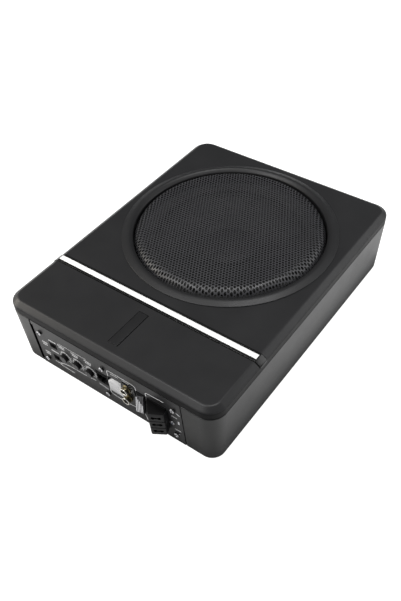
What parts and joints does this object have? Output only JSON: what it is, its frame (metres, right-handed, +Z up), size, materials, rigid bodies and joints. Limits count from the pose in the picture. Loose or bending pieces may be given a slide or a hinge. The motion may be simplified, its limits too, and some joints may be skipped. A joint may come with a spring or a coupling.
{
  "type": "powered car subwoofer",
  "caption": "Flat car subwoofer with its own amplifier: a shallow cast case and chamfered lid, a woofer under a domed grille, a silver strip, and a front panel of knobs and sockets.",
  "frame": {"origin": "on the floor, under the middle of the whole unit's box with the power plug included", "axes": "+X along the control panel to the viewer's right, +Y along the length of the case away from the panel, +Z up"},
  "size_m": [0.2512, 0.342, 0.0848],
  "materials": {
    "cast_paint": "cast, grey-black powder coat, semi-matt",
    "lid_paint": "cast, smooth black coat, semi-matt",
    "black_steel": "black semi-gloss coat",
    "satin_silver": "bright satin",
    "black_plastic": "moulded, satin",
    "white_nylon": "moulded, natural nylon",
    "nickel": "bright plated",
    "rubber_black": "matt",
    "pulp": "pressed paper pulp, coated",
    "cloth": "varnished woven cloth",
    "copper": "enamelled copper wire",
    "zinc": "zinc plated",
    "ferrite": "sintered, matt",
    "board_green": "glass-fibre board with green solder mask",
    "lens": "moulded lens"
  },
  "bodies": {
    "case": {"lower_case": "cast_paint", "top_cover": "lid_paint", "grille_ring": "lid_paint", "grille": "black_steel", "strip_carrier": "black_plastic", "trim_strip": "satin_silver", "badge_plate": "black_steel", "control_panel": "lid_paint", "panel_screw_1": "zinc", "panel_screw_2": "zinc", "panel_screw_3": "zinc", "panel_screw_4": "zinc", "panel_screw_5": "zinc", "panel_screw_6": "zinc", "driver_screw_1": "zinc", "driver_screw_2": "zinc", "driver_screw_3": "zinc", "driver_screw_4": "zinc", "case_screw_1": "zinc", "case_screw_2": "zinc", "case_screw_3": "zinc", "case_screw_4": "zinc", "foot_1": "rubber_black", "foot_2": "rubber_black", "foot_3": "rubber_black", "foot_4": "rubber_black", "driver_basket": "black_steel", "top_plate": "zinc", "magnet": "ferrite", "pole_yoke": "zinc", "driver_terminal": "black_plastic", "speaker_lead": "rubber_black", "main_board": "board_green", "control_board": "board_green", "capacitor": "black_plastic", "transformer": "copper", "pot_1": "black_plastic", "pot_2": "black_plastic", "pot_3": "black_plastic", "phase_switch": "black_plastic", "input_switch": "black_plastic", "remote_socket": "black_plastic", "speaker_input": "white_nylon", "rca_block": "black_plastic", "rca_jack_upper": "nickel", "rca_jack_lower": "nickel", "multi_pin_socket": "white_nylon", "power_led": "lens", "power_socket": "black_plastic"},
    "cone_assembly": {"cone": "pulp", "dust_cap": "pulp", "voice_coil": "copper", "surround": "rubber_black", "spider": "cloth"},
    "level_knob": {"level_knob": "black_plastic"},
    "filter_knob": {"filter_knob": "black_plastic"},
    "bass_knob": {"bass_knob": "black_plastic"},
    "phase_slider": {"phase_slider": "black_plastic"},
    "input_slider": {"input_slider": "black_plastic"},
    "power_plug": {"power_plug": "black_plastic"}
  },
  "joints": [
    {"name": "cone_travel", "type": "slide", "parent": "case", "child": "cone_assembly", "axis": [0, 0, 1], "range_m": [-0.006, 0.006], "stiffness_N_per_m": 3300, "deforming": ["surround", "spider"]},
    {"name": "level_turn", "type": "hinge", "parent": "case", "child": "level_knob", "pos_m": [-0.0552, -0.15706, 0.03516], "axis": [0, -0.9982, -0.0599], "range_deg": [-150, 150]},
    {"name": "filter_turn", "type": "hinge", "parent": "case", "child": "filter_knob", "pos_m": [-0.0387, -0.15706, 0.03516], "axis": [0, -0.9982, -0.0599], "range_deg": [-150, 150]},
    {"name": "bass_turn", "type": "hinge", "parent": "case", "child": "bass_knob", "pos_m": [-0.0222, -0.15706, 0.03516], "axis": [0, -0.9982, -0.0599], "range_deg": [-150, 150]},
    {"name": "phase_slide", "type": "slide", "parent": "case", "child": "phase_slider", "axis": [1, 0, 0], "range_m": [0, 0.003]},
    {"name": "input_slide", "type": "slide", "parent": "case", "child": "input_slider", "axis": [1, 0, 0], "range_m": [0, 0.003]},
    {"name": "plug_pull", "type": "slide", "parent": "case", "child": "power_plug", "axis": [0, -0.9982, -0.0599], "range_m": [0, 0.012]}
  ]
}
